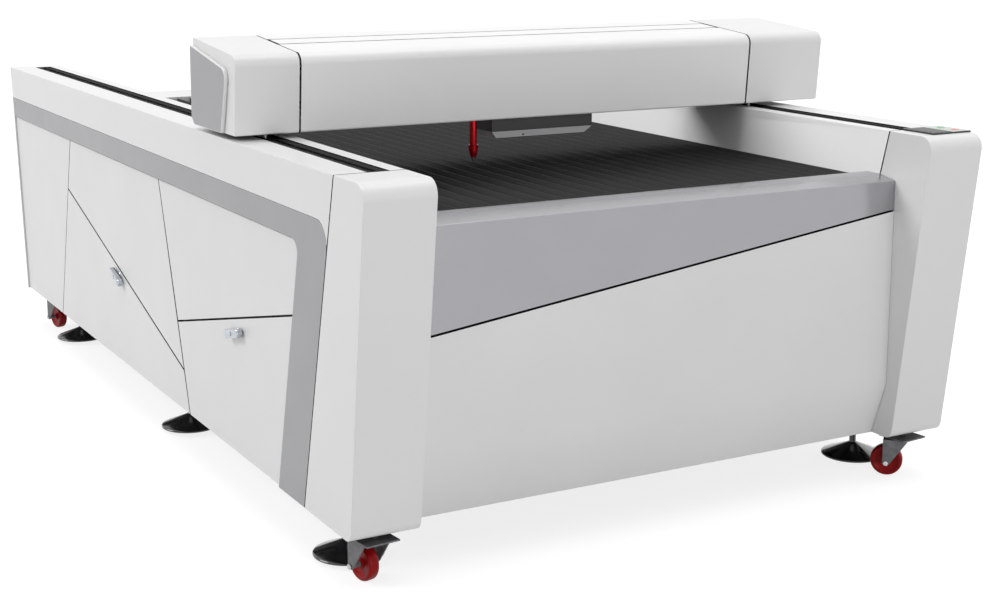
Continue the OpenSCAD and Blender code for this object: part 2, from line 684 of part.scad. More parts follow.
// Light tray below the box, narrower at its foot
module head_tray() color("darkgray") difference() {
    xz(head_y[0], head_y[1] - head_y[0]) polygon([[head_x[0] + 14, tray_z], [head_x[1] - 28, tray_z],
        [head_x[1], head_z], [head_x[0], head_z]]);
    xz(head_y[0] + 2, head_y[1] - head_y[0] - 4) polygon([[head_x[0] + 17, tray_z + 2],
        [head_x[1] - 30, tray_z + 2], [head_x[1] - 5, head_z + 1], [head_x[0] + 5, head_z + 1]]);
    translate([-23, head_y[0] - 1, tray_z + 6]) rotate([-90, 0, 0]) cylinder(r = 3, h = 4);
}

// Lens tube with its collar and cone, bored through for the beam
module nozzle() color("firebrick") translate([nozzle_x, nozzle_y, 0]) difference() {
    rotate_extrude() polygon([[0, nozzle_z], [3.5, nozzle_z], [4.5, nozzle_z + 4], [11, nozzle_z + 22],
        [12.5, nozzle_z + 28], [12.5, nozzle_z + 32], [15, nozzle_z + 33], [15, nozzle_z + 50],
        [tube_r, nozzle_z + 51], [tube_r, 1150], [0, 1150]]);
    translate([0, 0, nozzle_z - 1]) cylinder(r = 1.5, h = 12);
    translate([0, 0, nozzle_z + 10]) cylinder(r = 4, h = 30);
    translate([0, 0, nozzle_z + 39]) cylinder(r = 8.5, h = 240);
}

// ---- Casters: 0 front left, 1 front right, 2 rear left, 3 rear right ----

function caster_at(i) = [i % 2 == 0 ? -caster_x : caster_x, caster_ys[i < 2 ? 0 : 1], 0];
module at_caster(i) translate(caster_at(i)) rotate(caster_turn[i]) children();

// Pressed fork: head with its ball race, two tapering cheeks that trail, the axle and its spacers
module caster_fork(i) color([0.4, 0.4, 0.42]) at_caster(i) {
    front = -18;
    rear = trail + 10;
    cheek_in = fork_half - fork_t;
    difference() {
        union() {
            block([-fork_half, front, fork_z], [fork_half, rear, fork_z + fork_t]);
            translate([0, 0, fork_z]) cylinder(r = 30, h = plate_top - fork_t - 0.3 - fork_z);
        }
        translate([0, 0, fork_z - 1]) cylinder(r = kingpin_r + fit, h = 10);
    }
    for (x = [-fork_half, cheek_in]) yz(x, fork_t) polygon([[front, fork_z + 1], [trail - 10, wheel_z - 3],
        [trail - 5, wheel_z - 8.5], [trail + 5, wheel_z - 8.5], [trail + 10, wheel_z - 2], [rear, fork_z + 1]]);
    translate([-fork_half - 2, trail, wheel_z]) rotate([0, 90, 0]) cylinder(r = 5, h = 2 * fork_half + 4);
    for (x = [-cheek_in, wheel_w / 2 + 0.5]) translate([x, trail, wheel_z]) rotate([0, 90, 0])
        cylinder(r = 8, h = cheek_in - wheel_w / 2 - 0.5);
}

// Moulded wheel with rounded shoulders
module caster_wheel(i) color("firebrick") at_caster(i) translate([-wheel_w / 2, trail, wheel_z])
    rotate([0, 90, 0]) difference() {
        rotate_extrude() polygon(concat([[0, 0], [14, 0], [14, 3], [wheel_d / 2 - 12, 3], [wheel_d / 2 - 10, 0]],
            arc([wheel_d / 2 - 6, 6], 6, -90, 90), arc([wheel_d / 2 - 6, wheel_w - 6], 6, 0, 90),
            [[wheel_d / 2 - 10, wheel_w], [wheel_d / 2 - 12, wheel_w - 3], [14, wheel_w - 3],
             [14, wheel_w], [0, wheel_w]]));
        translate([0, 0, -1]) cylinder(r = 5 + fit, h = wheel_w + 2);
    }

module caster_fork_front_left() caster_fork(0);
module caster_fork_front_right() caster_fork(1);
module caster_fork_rear_left() caster_fork(2);
module caster_fork_rear_right() caster_fork(3);
module caster_wheel_front_left() caster_wheel(0);
module caster_wheel_front_right() caster_wheel(1);
module caster_wheel_rear_left() caster_wheel(2);
module caster_wheel_rear_right() caster_wheel(3);

place() side_frame_left();
place() side_frame_right();
place() cross_frame();
place() bed_slats();
place() chip_tray();
place() front_fascia();
place() front_panel();
place() rear_panel();
place() rail_cover_left();
place() rail_cover_right();
place() slot_lips();
place() front_column_left();
place() front_column_right();
place() side_band_left();
place() side_band_right();
place() side_panel_rear_left();
place() side_panel_upper_left();
place() side_panel_front_left();
place() side_panel_right();
place() guide_rails();
place() racks();
place() control_panel();
place() control_display();
place() power_inlet();
place() levelling_feet();
place() laser_power_supply();
place() side_door_rear_left();
place() side_door_front_left();
place() rear_latch();
place() front_latch();
place() start_key();
place() stop_key();
place() gantry_beam();
place() gantry_brackets();
place() bearing_blocks();
place() gantry_cover();
place() gantry_cover_left();
place() gantry_cover_right();
place() gantry_lid();
place() end_plate();
place() laser_tube();
place() cross_guide_rails();
place() cross_rack();
place() drive_motors();
place() pinion_left();
place() pinion_right();
place() head_carriage();
place() cross_motor();
place() cross_pinion();
place() head_cover();
place() head_tray();
place() nozzle();
place() caster_fork_front_left();
place() caster_fork_front_right();
place() caster_fork_rear_left();
place() caster_fork_rear_right();
place() caster_wheel_front_left();
place() caster_wheel_front_right();
place() caster_wheel_rear_left();
place() caster_wheel_rear_right();
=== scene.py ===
from math import cos, pi, radians

import bmesh
import bpy
from mathutils import Matrix, Vector


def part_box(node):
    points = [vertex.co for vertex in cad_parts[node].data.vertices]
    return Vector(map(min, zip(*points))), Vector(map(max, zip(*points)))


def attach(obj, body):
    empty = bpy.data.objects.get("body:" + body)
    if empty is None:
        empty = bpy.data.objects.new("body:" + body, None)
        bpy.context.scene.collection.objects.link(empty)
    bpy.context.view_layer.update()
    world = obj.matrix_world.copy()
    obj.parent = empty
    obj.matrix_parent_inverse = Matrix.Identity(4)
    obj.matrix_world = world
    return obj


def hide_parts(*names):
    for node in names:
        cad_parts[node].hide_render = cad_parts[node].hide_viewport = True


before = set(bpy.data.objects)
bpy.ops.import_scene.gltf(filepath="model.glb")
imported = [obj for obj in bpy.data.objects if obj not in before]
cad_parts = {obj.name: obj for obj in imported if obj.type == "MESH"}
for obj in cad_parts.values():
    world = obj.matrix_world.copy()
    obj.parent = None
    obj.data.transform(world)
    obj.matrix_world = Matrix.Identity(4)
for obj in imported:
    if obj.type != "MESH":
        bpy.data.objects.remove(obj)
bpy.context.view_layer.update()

# ---- Camera ----
# A camera at the machine's left front corner, at eye height, a little above the rail covers.
optics = bpy.data.cameras.new("camera")
optics.lens = 59.7
optics.sensor_width = 36
optics.shift_y = -0.0574
optics.clip_end = 200
camera = bpy.data.objects.new("camera", optics)
camera.location = (-2.508, -5.1282, 1.6272)
camera.rotation_euler = (radians(79.09), 0, radians(-28.89))
bpy.context.scene.collection.objects.link(camera)
bpy.context.scene.camera = camera

# ---- Studio ----
# A pale floor under white walls, with wide soft lamps above, left, in front and right.
# Floor and walls look white to the eye, and the floor still shows the machine's shadow.
view = bpy.context.scene.view_settings
view.view_transform = "Standard"


def seen_plainly(tree, shader_seen, shader_lit):
    """One shader for rays that look at a surface, another for rays that only light other things"""
    path = tree.nodes.new("ShaderNodeLightPath")
    looks = path.outputs["Is Camera Ray"]
    for kind in ("Is Glossy Ray", "Is Transmission Ray"):
        either = tree.nodes.new("ShaderNodeMath")
        either.operation = "MAXIMUM"
        tree.links.new(looks, either.inputs[0])
        tree.links.new(path.outputs[kind], either.inputs[1])
        looks = either.outputs[0]
    mix = tree.nodes.new("ShaderNodeMixShader")
    tree.links.new(looks, mix.inputs[0])
    tree.links.new(shader_lit.outputs[0], mix.inputs[1])
    tree.links.new(shader_seen.outputs[0], mix.inputs[2])
    return mix


world = bpy.data.worlds.new("studio_air")
world.use_nodes = True
bpy.context.scene.world = world
air = world.node_tree
air.nodes.clear()
seen_air = air.nodes.new("ShaderNodeBackground")
white = (1, 1, 1, 1)
seen_air.inputs["Color"].default_value = white
seen_air.inputs["Strength"].default_value = 1
lit_air = air.nodes.new("ShaderNodeBackground")
lit_air.inputs["Color"].default_value = white
lit_air.inputs["Strength"].default_value = 0.38
air_out = air.nodes.new("ShaderNodeOutputWorld")
air.links.new(seen_plainly(air, seen_air, lit_air).outputs[0], air_out.inputs["Surface"])

floor_half = 40
floor_mesh = bmesh.new()
bmesh.ops.create_grid(floor_mesh, x_segments=1, y_segments=1, size=floor_half)
floor_data = bpy.data.meshes.new("floor")
floor_mesh.to_mesh(floor_data)
floor_mesh.free()
floor_paint = bpy.data.materials.new("floor")
floor_paint.use_nodes = True
ground = floor_paint.node_tree
ground.nodes.clear()
glow = ground.nodes.new("ShaderNodeEmission")
glow.inputs["Strength"].default_value = 0.82
grey = ground.nodes.new("ShaderNodeBsdfDiffuse")
grey.inputs["Color"].default_value = (0.3, 0.3, 0.3, 1)
both_seen = ground.nodes.new("ShaderNodeAddShader")
ground.links.new(glow.outputs[0], both_seen.inputs[0])
ground.links.new(grey.outputs[0], both_seen.inputs[1])
pale = ground.nodes.new("ShaderNodeBsdfDiffuse")
pale.inputs["Color"].default_value = (0.6, 0.6, 0.6, 1)
ground_out = ground.nodes.new("ShaderNodeOutputMaterial")
ground.links.new(seen_plainly(ground, both_seen, pale).outputs[0], ground_out.inputs["Surface"])
floor_data.materials.append(floor_paint)
floor = bpy.data.objects.new("floor", floor_data)
bpy.context.scene.collection.objects.link(floor)


def soft_sun(name, strength, spread, turn):
    """A wide, distant softbox; spread and turn are in degrees"""
    lamp = bpy.data.lights.new(name, "SUN")
    lamp.energy = strength
    lamp.angle = radians(spread)
    light = bpy.data.objects.new(name, lamp)
    light.rotation_euler = [radians(a) for a in turn]
    bpy.context.scene.collection.objects.link(light)


soft_sun("overhead_softbox", strength=1.25, spread=50, turn=(0, 6, 0))
soft_sun("left_softbox", strength=1.25, spread=28, turn=(0, -55, -31))
soft_sun("front_softbox", strength=1.42, spread=45, turn=(93, 0, 0))
soft_sun("right_softbox", strength=0.5, spread=60, turn=(0, 70, 0))

# ---- Welded frame ----
# Square steel tubes cut and welded into two side ladders and joined by cross tubes,
# with the notched bars that carry the slats; dark powder coat, zinc below the casing's edge.


def finish_of(name, colour, metallic=0.0, roughness=0.5):
    """A new material with its plain values on the shader's own sockets"""
    material = bpy.data.materials.new(name)
    material.use_nodes = True
    shader = material.node_tree.nodes["Principled BSDF"]
    shader.inputs["Base Color"].default_value = (*colour, 1)
    shader.inputs["Metallic"].default_value = metallic
    shader.inputs["Roughness"].default_value = roughness
    return material, shader


def mottle(material, scale, stretch=(1, 1, 1), detail=4):
    """Cloudy pattern in the piece's own space; scale is in patches per metre"""
    tree = material.node_tree
    place = tree.nodes.new("ShaderNodeTexCoord")
    spread = tree.nodes.new("ShaderNodeMapping")
    spread.inputs["Scale"].default_value = stretch
    cloud = tree.nodes.new("ShaderNodeTexNoise")
    cloud.inputs["Scale"].default_value = scale
    cloud.inputs["Detail"].default_value = detail
    tree.links.new(place.outputs["Object"], spread.inputs["Vector"])
    tree.links.new(spread.outputs["Vector"], cloud.inputs["Vector"])
    return cloud.outputs["Fac"]


def range_of(material, pattern, socket, low, high, dull=0.3, strong=0.7):
    """Lets a pattern move one of the shader's numbers between two values"""
    tree = material.node_tree
    span = tree.nodes.new("ShaderNodeMapRange")
    span.inputs["From Min"].default_value = dull
    span.inputs["From Max"].default_value = strong
    span.inputs["To Min"].default_value = low
    span.inputs["To Max"].default_value = high
    tree.links.new(pattern, span.inputs["Value"])
    tree.links.new(span.outputs["Result"], tree.nodes["Principled BSDF"].inputs[socket])


def tones(material, pattern, dark, light, start=0.35, end=0.65):
    """Colours a surface between two tones along a pattern"""
    tree = material.node_tree
    ramp = tree.nodes.new("ShaderNodeValToRGB")
    ramp.color_ramp.elements[0].position = start
    ramp.color_ramp.elements[1].position = end
    ramp.color_ramp.elements[0].color = (*dark, 1)
    ramp.color_ramp.elements[1].color = (*light, 1)
    tree.links.new(pattern, ramp.inputs["Fac"])
    tree.links.new(ramp.outputs["Color"], tree.nodes["Principled BSDF"].inputs["Base Color"])


def relief(material, pattern, depth, strength):
    """Raises a pattern on the surface; depth in metres"""
    tree = material.node_tree
    bump = tree.nodes.new("ShaderNodeBump")
    bump.inputs["Distance"].default_value = depth
    bump.inputs["Strength"].default_value = strength
    tree.links.new(pattern, bump.inputs["Height"])
    tree.links.new(bump.outputs["Normal"], tree.nodes["Principled BSDF"].inputs["Normal"])


def powder_coat(name, dark, light, roughness):
    """Baked powder coat: even colour, faint orange peel, slightly uneven gloss"""
    material, shader = finish_of(name, light, 0, roughness)
    tones(material, mottle(material, scale=2.5), dark, light)
    gloss = mottle(material, scale=12, detail=2)
    range_of(material, gloss, "Roughness", roughness - 0.02, roughness + 0.03)
    relief(material, mottle(material, scale=90, detail=1), depth=0.00002, strength=0.06)
    shader.inputs["Specular IOR Level"].default_value = 0.4
    return material


def dress(material, *nodes):
    """Puts a finish on parts of the frame that stay as they are"""
    for node in nodes:
        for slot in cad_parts[node].material_slots:
            slot.material = material


# Near-black painted shade for cut edges, return flanges and faces inside covers, so that seams, gaps
# and hollows look dark.
painted_seam_shade, seam_shade_shader = finish_of("painted_seam_shade", (0.03, 0.03, 0.031), 0, 0.75)
seam_shade_shader.inputs["Specular IOR Level"].default_value = 0
tones(painted_seam_shade, mottle(painted_seam_shade, 30), (0.012, 0.012, 0.013), (0.018, 0.018, 0.019))


def inside(face, centre):
    """A face of a hollow cover that looks at its middle"""
    return face.normal.dot(face.calc_center_median() - centre) < 0


def folded(name, node, body, material, radius, sheet=0.003, edge=0.0006, painted_shade_picker=None):
    """Merged copy of a part from the frame, its folds rounded by radius and its cut edges by edge.
    The sheet's thickness tells the cut edges. Where a face picker is given, the faces that it picks
    out and all cut edges get a near-black painted shade, standing for the shade in seams and hollows."""
    bm = bmesh.new()
    bm.from_mesh(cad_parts[node].data)
    bmesh.ops.remove_doubles(bm, verts=bm.verts, dist=3e-6)
    bmesh.ops.dissolve_limit(bm, angle_limit=radians(0.8), verts=bm.verts, edges=bm.edges)
    low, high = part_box(node)
    centre = (Vector(low) + Vector(high)) / 2

    def cut_side(face):
        """A long face as narrow as the sheet is thick"""
        return abs(2 * face.calc_area() / face.calc_perimeter() - sheet) < 0.13 * sheet

    def edges_where(cut):
        """Sharp outer edges, either those of cut faces or all the others"""
        return [e for e in bm.edges if len(e.link_faces) == 2 and e.is_convex
                and e.calc_face_angle() > radians(25)
                and any(cut_side(f) for f in e.link_faces) == cut]

    for face in bm.faces:
        face.material_index = int(painted_shade_picker is not None and (painted_shade_picker(face, centre) or cut_side(face)))
    if radius:
        bmesh.ops.bevel(bm, geom=edges_where(False), offset=radius, offset_type="OFFSET", segments=4,
                        profile=0.5, affect="EDGES", material=-1, clamp_overlap=True)
    if edge:
        bmesh.ops.bevel(bm, geom=edges_where(True), offset=edge, offset_type="OFFSET", segments=1,
                        profile=0.5, affect="EDGES", material=-1, clamp_overlap=True)
    mesh = bpy.data.meshes.new(name)
    bm.to_mesh(mesh)
    bm.free()
    mesh.materials.append(material)
    if painted_shade_picker is not None:
        mesh.materials.append(painted_seam_shade)
    mesh.shade_smooth()
    mesh.set_sharp_from_angle(angle=radians(30))
    piece = bpy.data.objects.new(name, mesh)
    bpy.context.scene.collection.objects.link(piece)
    piece.modifiers.new("flat_faces", "WEIGHTED_NORMAL").keep_sharp = True
    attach(piece, body)
    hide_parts(node)
    return piece


frame_coat = powder_coat("frame_coat", (0.035, 0.036, 0.038), (0.05, 0.051, 0.054), 0.45)
dress(frame_coat, "cross_frame")
zinc, zinc_shader = finish_of("zinc_plate", (0.17, 0.172, 0.177), 0.2, 0.45)
tones(zinc, mottle(zinc, 60), (0.14, 0.142, 0.146), (0.2, 0.202, 0.207))
zinc_shader.inputs["Specular IOR Level"].default_value = 0.2
range_of(zinc, mottle(zinc, 60), "Roughness", 0.36, 0.5)
skirt_height = 0.13
for side in ("left", "right"):
    ladder = folded(f"ladder_{side}", f"side_frame_{side}", "root", frame_coat,
                    radius=0, sheet=0.004, edge=0)
    ladder.data.materials.append(zinc)
    for face in ladder.data.polygons:
        face.material_index = int(face.center.z < skirt_height)

# ---- Casters ----
# Four swivel casters: a pressed, zinc-plated steel fork that turns on its ball race under a
# fixed plate, a bolted axle, and a moulded dark red wheel with a rounded tread.
axle_steel, _ = finish_of("axle_steel", (0.55, 0.55, 0.56), 1, 0.25)
range_of(axle_steel, mottle(axle_steel, 200), "Roughness", 0.2, 0.34)
tones(axle_steel, mottle(axle_steel, 90), (0.45, 0.45, 0.46), (0.6, 0.6, 0.61))
wheel_red, wheel_shader = finish_of("wheel_red", (0.3, 0.003, 0.004), 0, 0.35)
tones(wheel_red, mottle(wheel_red, 45, detail=2), (0.24, 0.002, 0.003), (0.33, 0.004, 0.005))
range_of(wheel_red, mottle(wheel_red, 90, detail=1), "Roughness", 0.3, 0.42)
wheel_shader.inputs["Specular IOR Level"].default_value = 0.15


def moved(bm, to=(0, 0, 0), turn=None):
    """Turns a mesh about the origin, then shifts it"""
    if turn is not None:
        bmesh.ops.transform(bm, matrix=turn, verts=bm.verts)
    bmesh.ops.translate(bm, vec=to, verts=bm.verts)
    return bm


def joined(*shapes):
    """Puts several closed shapes of one piece into one mesh"""
    whole = shapes[0]
    for shape in shapes[1:]:
        part = bpy.data.meshes.new("part")
        shape.to_mesh(part)
        shape.free()
        whole.from_mesh(part)
        bpy.data.meshes.remove(part)
    return whole


def turned(profile, steps=48):
    """Lathe shape about Z from a profile of (radius, height), closed where it meets the axis"""
    bm = bmesh.new()
    points = [bm.verts.new((r, 0, z)) for r, z in profile]
    edges = [bm.edges.new(pair) for pair in zip(points, points[1:])]
    bmesh.ops.spin(bm, geom=points + edges, cent=(0, 0, 0), axis=(0, 0, 1), angle=2 * pi,
                   steps=steps, use_merge=True)
    bmesh.ops.remove_doubles(bm, verts=bm.verts, dist=1e-6)
    bmesh.ops.recalc_face_normals(bm, faces=bm.faces)
    return bm


def hexagon(across, height, chamfer):
    """Hexagonal nut or bolt head standing on the origin"""
    bm = bmesh.new()
    radius = across / 2 / cos(pi / 6)
    bmesh.ops.create_cone(bm, cap_ends=True, segments=6, radius1=radius, radius2=radius, depth=height,
                          matrix=Matrix.Translation((0, 0, height / 2)))
    bmesh.ops.bevel(bm, geom=bm.edges[:], offset=chamfer, segments=2, profile=0.5,
                    affect="EDGES", material=-1)
    return bm


def placed(name, bm, material, body, stands_for=(), crease=35):
    """Makes a finished piece of a mesh, in its place, and fixes it to its body"""
    bmesh.ops.recalc_face_normals(bm, faces=bm.faces)
    mesh = bpy.data.meshes.new(name)
    bm.to_mesh(mesh)
    bm.free()
    mesh.materials.append(material)
    mesh.shade_smooth()
    mesh.set_sharp_from_angle(angle=radians(crease))
    piece = bpy.data.objects.new(name, mesh)
    bpy.context.scene.collection.objects.link(piece)
    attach(piece, body)
    if stands_for:
        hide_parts(*stands_for)
    return piece


along_x = Matrix.Rotation(radians(90), 4, "Y")
caster_turns = {"front_left": 12, "front_right": 45, "rear_left": 12, "rear_right": -20}
bolt_across, bolt_height = 0.013, 0.005
inner_head, outer_head = -0.0485, 0.0435
wheel_half = 0.015
for corner, degrees in caster_turns.items():
    fork, wheel = f"caster_{corner}", f"wheel_{corner}"
    folded(f"fork_{corner}", f"caster_fork_{corner}", fork, zinc,
           radius=0.0008, sheet=0.004, edge=0)
    low, high = (Vector(end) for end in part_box(f"caster_wheel_{corner}"))
    axle = (low + high) / 2
    swivel = Matrix.Rotation(radians(degrees), 4, "Z")
    bolt = joined(*[moved(hexagon(bolt_across, bolt_height, 0.0006), (x, 0, 0), along_x)
                    for x in (outer_head, inner_head)])
    placed(f"axle_bolt_{corner}", moved(bolt, axle, swivel), axle_steel, fork)
    rim = (high.z - low.z) / 2
    side_profile = [(0.0056, wheel_half), (0.0135, wheel_half), (0.014, wheel_half - 0.003),
                    (rim - 0.0125, wheel_half - 0.003), (rim - 0.0105, wheel_half - 0.0008),
                    (rim - 0.0085, wheel_half - 0.0001), (rim - 0.006, wheel_half - 0.0003),
                    (rim - 0.0028, wheel_half - 0.0015), (rim - 0.0008, wheel_half - 0.004),
                    (rim, wheel_half - 0.0075)]
    far_side = [(r, -x) for r, x in reversed(side_profile)]
    tyre = moved(turned(side_profile + far_side + side_profile[:1], 64), turn=along_x)
    placed(f"{wheel}_tread", moved(tyre, axle, swivel), wheel_red, wheel,
           (f"caster_wheel_{corner}",), crease=50)

# ---- Levelling feet ----
# Six moulded cone feet, glossy black, each pressed on a threaded steel stem that is screwed
# up into the frame and locked by a nut under it.
foot_black, foot_shader = finish_of("foot_black", (0.016, 0.016, 0.017), 0, 0.16)
tones(foot_black, mottle(foot_black, 35), (0.012, 0.012, 0.013), (0.02, 0.02, 0.021))
range_of(foot_black, mottle(foot_black, 120), "Roughness", 0.12, 0.24)
foot_shader.inputs["Coat Weight"].default_value = 0.6
foot_shader.inputs["Coat Roughness"].default_value = 0.05
low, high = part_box("levelling_feet")
foot_r = 0.094
rise = low[2]
pad_profile = [(0, 0), (foot_r - 0.0015, 0), (foot_r, 0.0012), (foot_r, 0.0048),
               (foot_r - 0.0012, 0.0064), (foot_r - 0.0045, 0.0082), (0.0105, 0.0397),
               (0.0102, 0.0415), (0.01, 0.0605), (0.0088, 0.0618), (0, 0.0618)]
thread_foot, thread_top, pitch = 0.0585, 0.129, 0.002
root_r, crest_r = 0.0068, 0.008
windings = 33
thread = [(0, thread_foot - 0.0005)]
for winding in range(windings):
    height = thread_foot + winding * pitch
    thread += [(root_r, height), (crest_r, height + pitch / 2)]
thread += [(0, thread_top)]
front_row, rear_row = low[1] + foot_r, high[1] - foot_r
middle_offset = 1.267
middle_row = front_row + middle_offset
foot_places = [(x, y, rise) for x in (low[0] + foot_r, high[0] - foot_r)
               for y in (front_row, middle_row, rear_row)]
pads = joined(*[moved(turned(pad_profile, 96), place) for place in foot_places])
placed("levelling_foot_pads", pads, foot_black, "root", ("levelling_feet",))
stems = joined(*[moved(turned(thread, 24), place) for place in foot_places])
placed("levelling_stems", stems, axle_steel, "root")
nut_height = 0.1162
nuts = joined(*[moved(hexagon(0.024, 0.0135, 0.0012), (x, y, z + nut_height))
                for x, y, z in foot_places])
placed("levelling_nuts", nuts, axle_steel, "root")

# ---- Slat bed ----
# Blades of hot-rolled steel stand on edge in the notched bars, over a folded trough that catches
# the offcuts; both are matt and sooty. The blades carry painted light and shade: darker tops and
# lighter sides, chosen by the way each face points, to even out the lit tops and the shaded gaps.
slat_steel, slat_shader = finish_of("slat_steel", (0.05, 0.05, 0.05), 0, 0.6)
soot_tree = slat_steel.node_tree
facing = soot_tree.nodes.new("ShaderNodeSeparateXYZ")
normals = soot_tree.nodes.new("ShaderNodeTexCoord").outputs["Normal"]
soot_tree.links.new(normals, facing.inputs[0])
# Painted light and shade by facing: blade sides painted lighter and tops painted darker than the
# steel's own tone.
blade_side_painted_light, blade_top_painted_shade = (0.09, 0.09, 0.09), (0.026, 0.026, 0.026)
tones(slat_steel, facing.outputs["Z"], blade_side_painted_light, blade_top_painted_shade, start=0.4, end=0.8)
range_of(slat_steel, mottle(slat_steel, 60), "Roughness", 0.5, 0.68)
relief(slat_steel, mottle(slat_steel, 300), 0.00005, 0.2)
slat_shader.inputs["Specular IOR Level"].default_value = 0.05
dress(slat_steel, "bed_slats")
soot, _ = finish_of("sooty_tray", (0.2, 0.2, 0.2), 0, 0.7)
tones(soot, mottle(soot, 9), (0.17, 0.17, 0.17), (0.22, 0.219, 0.218))
range_of(soot, mottle(soot, 40), "Roughness", 0.6, 0.85)
relief(soot, mottle(soot, 220), 0.0001, 0.3)
dress(soot, "chip_tray")

# ---- Power supply ----
# Laser power supply in a folded steel case, fixed low in the frame behind the doors,
# powder coated in a mid grey.
case_grey = powder_coat("case_grey", (0.16, 0.165, 0.17), (0.19, 0.195, 0.2), 0.42)
dress(case_grey, "laser_power_supply")

# ---- Guide rails and racks ----
# Ground steel guide rails bolted on the frame's top tubes, each beside a milled gear rack;
# thinly oiled, with fine grinding marks along their length.
ground_steel, _ = finish_of("ground_steel", (0.5, 0.51, 0.52), 1, 0.26)
tones(ground_steel, mottle(ground_steel, 120, (1, 0.04, 1)), (0.4, 0.405, 0.415), (0.56, 0.565, 0.575))
range_of(ground_steel, mottle(ground_steel, 300, (1, 0.05, 1)), "Roughness", 0.2, 0.36)
dress(ground_steel, "guide_rails", "cross_guide_rails")
milled_steel, _ = finish_of("milled_steel", (0.34, 0.345, 0.355), 1, 0.36)
tones(milled_steel, mottle(milled_steel, 80), (0.26, 0.265, 0.275), (0.4, 0.405, 0.415))
range_of(milled_steel, mottle(milled_steel, 240), "Roughness", 0.3, 0.46)
relief(milled_steel, mottle(milled_steel, 600, (1, 1, 8)), 0.00005, 0.4)
dress(milled_steel, "racks", "cross_rack", "pinion_left", "pinion_right", "cross_pinion")

# ---- Casing ----
# Folded steel sheet, powder coated in a clean white with a slight gloss: two column covers
# in front and a long channel with a slot over each guide rail. Folds are softly rounded.
white_coat = powder_coat("white_coat", (0.785, 0.785, 0.785), (0.8, 0.8, 0.8), 0.3)


def in_channel(face, centre):
    """Faces of a long cover that look down; both faces of its walls stay white"""
    return face.normal.z < -0.5


# Painted shade: the columns' inner faces and the channels' downward faces take the near-black seam
# shade.
for side in ("left", "right"):
    folded(f"column_{side}", f"front_column_{side}", "root", white_coat,
           radius=0.009, painted_shade_picker=inside)
    folded(f"rail_channel_{side}", f"rail_cover_{side}", "root", white_coat,
           radius=0.004, painted_shade_picker=in_channel)
rubber, rubber_shader = finish_of("slot_rubber", (0.03, 0.03, 0.03), 0, 0.8)
tones(rubber, mottle(rubber, 50), (0.012, 0.012, 0.012), (0.018, 0.018, 0.018))
rubber_shader.inputs["Specular IOR Level"].default_value = 0.1
relief(rubber, mottle(rubber, 400, (1, 0.2, 1)), 0.00004, 0.2)
dress(rubber, "slot_lips")

# ---- Side bands ----
# Metallic grey band folded from sheet that runs along each side and turns down beside the
# column as a leg; satin lacquer with fine aluminium flake.
silver_coat, _ = finish_of("silver_coat", (0.34, 0.34, 0.35), 0.3, 0.36)
tones(silver_coat, mottle(silver_coat, 9, detail=2), (0.33, 0.331, 0.341), (0.34, 0.341, 0.351))
range_of(silver_coat, mottle(silver_coat, 5, detail=1), "Roughness", 0.34, 0.4)
relief(silver_coat, mottle(silver_coat, 60, detail=1), 0.00002, 0.05)


def turned_back(face, centre):
    """Return flanges and back of a shallow pan on the machine's side"""
    return abs(face.normal.x) < 0.5 or face.normal.x * centre.x < 0


# Painted shade: the bands' return flanges, backs and cut edges take the near-black seam shade.
for side in ("left", "right"):
    folded(f"band_{side}", f"side_band_{side}", "root", silver_coat,
           radius=0.002, painted_shade_picker=turned_back)

# ---- Side panels and doors ----
# Folded pans hung on the frame with narrow gaps between them; the two lower ones on the left
# are doors on pin hinges. Same powder coat as the columns, a shade greyer.
panel_coat = powder_coat("panel_coat", (0.765, 0.765, 0.765), (0.79, 0.79, 0.79), 0.32)
pan_fold = 0.0018
# Painted shade: the pans' return flanges, backs and cut edges take the near-black seam shade.
for pan in ("panel_rear_left", "panel_upper_left", "panel_front_left", "panel_right"):
    folded(pan, f"side_{pan}", "root", panel_coat, pan_fold, painted_shade_picker=turned_back)


def return_flange(face, centre):
    """Return flanges of a door, which is painted on its back too"""
    return abs(face.normal.x) < 0.5


# Painted shade: the doors' return flanges and cut edges take the near-black seam shade; their backs
# keep the panel coat.
for where in ("rear", "front"):
    folded(f"door_{where}_left", f"side_door_{where}_left", f"{where}_door", panel_coat,
           pan_fold, painted_shade_picker=return_flange)

# ---- Door latches ----
# Cast and chrome-plated quarter-turn latches: a bar with round ends on a spindle,
# a flanged rosette on the door's face, and a round nut behind it.
chrome, _ = finish_of("chrome", (0.5, 0.53, 0.57), 0.95, 0.1)
range_of(chrome, mottle(chrome, 90), "Roughness", 0.04, 0.12)
tones(chrome, mottle(chrome, 30), (0.4, 0.43, 0.47), (0.52, 0.55, 0.59))
latch_slopes = {"rear": 16.3, "front": -12.7}
half_length, half_width, thickness = 0.055, 0.013, 0.016
reach = 0.022
face_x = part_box("side_door_rear_left")[0][0]
outwards = Matrix(((0, 0, -1, 0), (1, 0, 0, 0), (0, 1, 0, 0), (0, 0, 0, 1)))


def slab(low, high):
    """Box between two corners"""
    bm = bmesh.new()
    size = Vector(high) - Vector(low)
    place = Matrix.Translation((Vector(high) + Vector(low)) / 2) @ Matrix.Diagonal((*size, 1))
    bmesh.ops.create_cube(bm, size=1, matrix=place)
    return bm


